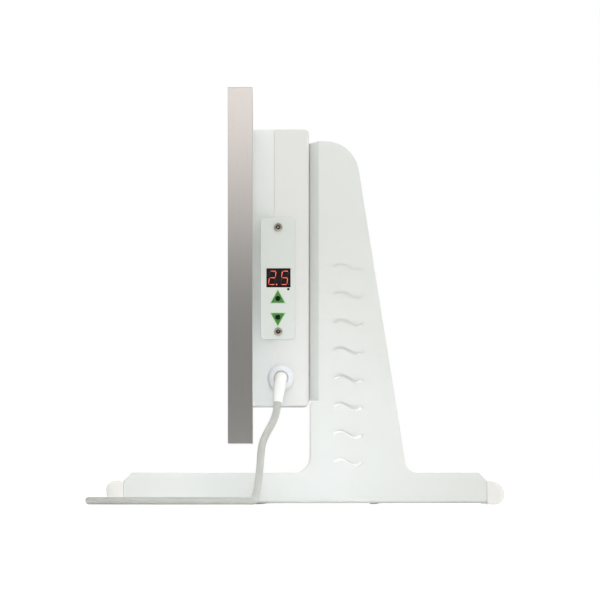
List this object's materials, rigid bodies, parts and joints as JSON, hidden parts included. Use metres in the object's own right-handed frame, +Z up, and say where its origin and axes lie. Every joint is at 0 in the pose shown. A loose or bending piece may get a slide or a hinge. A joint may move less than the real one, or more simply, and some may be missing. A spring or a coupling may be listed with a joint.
{
  "type": "space heater",
  "caption": "Free-standing electric panel heater: tiled panel in a brushed frame, white steel case with display and push buttons, bent-sheet legs with wave cut-outs, mains cord",
  "frame": {"origin": "on the floor under the middle of the heater: the bottom centre of its box without the cord", "axes": "+Z up, +X from the heating panel to the rear of the heater, +Y along the panel's width, away from the control side"},
  "size_m": [0.4135, 0.6726, 0.4105],
  "materials": {
    "painted_steel": "white powder coat, fine satin",
    "brushed_steel": "brushed along the rails",
    "zinc_steel": "zinc plated",
    "stoneware": "matt, light stone look",
    "element_foil": "matt black",
    "mineral_wool": "coarse fibre",
    "cap_plastic": "moulded, satin",
    "white_plastic": "moulded, satin",
    "dark_plastic": "moulded, satin",
    "green_plastic": "moulded, satin",
    "smoked_acrylic": "polished",
    "circuit_board": "solder resist",
    "cord_sheath": "smooth, satin",
    "brass": "plain"
  },
  "bodies": {
    "heater": {"front_tray": "painted_steel", "rear_cover": "painted_steel", "control_plate": "painted_steel", "leg_near": "painted_steel", "leg_far": "painted_steel", "rail_bottom": "brushed_steel", "rail_top": "brushed_steel", "rail_near": "brushed_steel", "rail_far": "brushed_steel", "backing_sheet": "zinc_steel", "plate_screw_upper": "zinc_steel", "plate_screw_lower": "zinc_steel", "thermal_cutout": "zinc_steel", "plug_pin_live": "zinc_steel", "plug_pin_neutral": "zinc_steel", "leg_screw_near_lower": "zinc_steel", "leg_screw_near_middle": "zinc_steel", "leg_screw_near_upper": "zinc_steel", "leg_screw_far_lower": "zinc_steel", "leg_screw_far_middle": "zinc_steel", "leg_screw_far_upper": "zinc_steel", "front_tile": "stoneware", "heating_element": "element_foil", "insulation_mat": "mineral_wool", "end_cap_near_front": "cap_plastic", "end_cap_near_rear": "cap_plastic", "end_cap_far_front": "cap_plastic", "end_cap_far_rear": "cap_plastic", "control_housing": "white_plastic", "terminal_block": "white_plastic", "heater_lead_live": "white_plastic", "heater_lead_neutral": "white_plastic", "gland_body": "white_plastic", "gland_locknut": "white_plastic", "gland_dome_nut": "white_plastic", "bend_relief": "white_plastic", "plug_body": "white_plastic", "display_module": "dark_plastic", "switch_up": "dark_plastic", "switch_down": "dark_plastic", "room_sensor": "dark_plastic", "relay": "dark_plastic", "transformer": "dark_plastic", "capacitor": "dark_plastic", "lead_grommet": "dark_plastic", "core_live": "dark_plastic", "core_neutral": "dark_plastic", "control_lead": "dark_plastic", "core_earth": "green_plastic", "display_lens": "smoked_acrylic", "control_board": "circuit_board", "power_board": "circuit_board", "cord_tail": "cord_sheath", "mains_cord": "cord_sheath", "cord_coil": "cord_sheath", "plug_lead": "cord_sheath", "earth_stud": "brass"},
    "up_button": {"button_up": "green_plastic"},
    "down_button": {"button_down": "green_plastic"}
  },
  "joints": [
    {"name": "up_press", "type": "slide", "parent": "heater", "child": "up_button", "axis": [0, 1, 0], "range_m": [0, 0.0005], "stiffness_N_per_m": 300},
    {"name": "down_press", "type": "slide", "parent": "heater", "child": "down_button", "axis": [0, 1, 0], "range_m": [0, 0.0005], "stiffness_N_per_m": 300}
  ]
}
